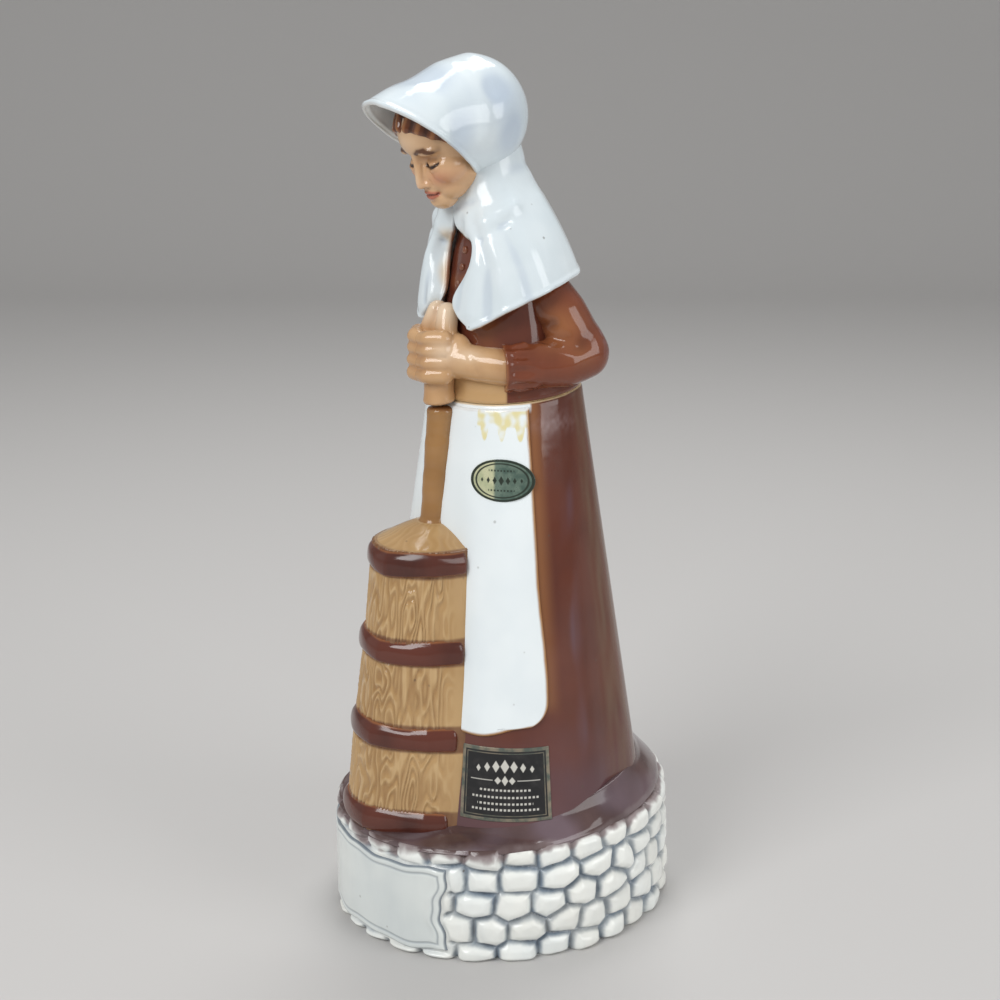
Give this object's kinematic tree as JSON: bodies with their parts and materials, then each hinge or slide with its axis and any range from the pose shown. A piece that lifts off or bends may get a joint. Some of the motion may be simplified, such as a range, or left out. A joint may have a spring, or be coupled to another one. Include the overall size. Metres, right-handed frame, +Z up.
{
  "type": "figural liquor decanter",
  "caption": "Glazed ceramic decanter shaped as a woman in a bonnet at a butter churn on a cobbled plinth; her upper body lifts off with the cork to pour.",
  "frame": {"origin": "centre of the foot on the surface the decanter stands on, under the middle of its overall box", "axes": "+Z up; the figure faces -Y; her left hand side is +X"},
  "size_m": [0.122, 0.134, 0.318],
  "materials": {
    "stone_glaze": "gloss",
    "white_glaze": "gloss",
    "mound_glaze": "gloss",
    "brown_glaze": "gloss",
    "bare_bisque": "matte",
    "churn_glaze": "gloss",
    "hoop_glaze": "gloss",
    "staff_glaze": "gloss",
    "label_paper": "satin",
    "sticker_foil": "satin",
    "cork": "matte",
    "skin_glaze": "gloss",
    "hair_glaze": "gloss"
  },
  "bodies": {
    "bottle": {"stone_plinth": "stone_glaze", "scroll_plaque": "white_glaze", "ground_mound": "mound_glaze", "skirt_shell": "brown_glaze", "pouring_neck": "bare_bisque", "apron": "white_glaze", "churn_tub": "churn_glaze", "churn_lid": "churn_glaze", "churn_hoop_1": "hoop_glaze", "churn_hoop_2": "hoop_glaze", "churn_hoop_3": "hoop_glaze", "churn_hoop_4": "hoop_glaze", "dasher_staff": "staff_glaze", "front_label": "label_paper", "oval_sticker": "sticker_foil"},
    "cork": {"cork_sleeve": "cork"},
    "bust": {"stopper_peg": "bare_bisque", "bodice": "brown_glaze", "left_sleeve": "brown_glaze", "right_sleeve": "brown_glaze", "left_hand": "skin_glaze", "right_hand": "skin_glaze", "thumbs": "skin_glaze", "staff_stump": "staff_glaze", "kerchief": "white_glaze", "bodice_buttons": "brown_glaze", "head": "skin_glaze", "hair": "hair_glaze", "bonnet": "white_glaze"}
  },
  "joints": [
    {"name": "bust_lift", "type": "slide", "parent": "bottle", "child": "cork", "axis": [0, -0.1045, 0.9945], "range_m": [0, 0.045]},
    {"name": "bust_twist", "type": "hinge", "parent": "cork", "child": "bust", "pos_m": [0, 0.0015, 0.2005], "axis": [0, -0.1045, 0.9945], "continuous": true}
  ]
}
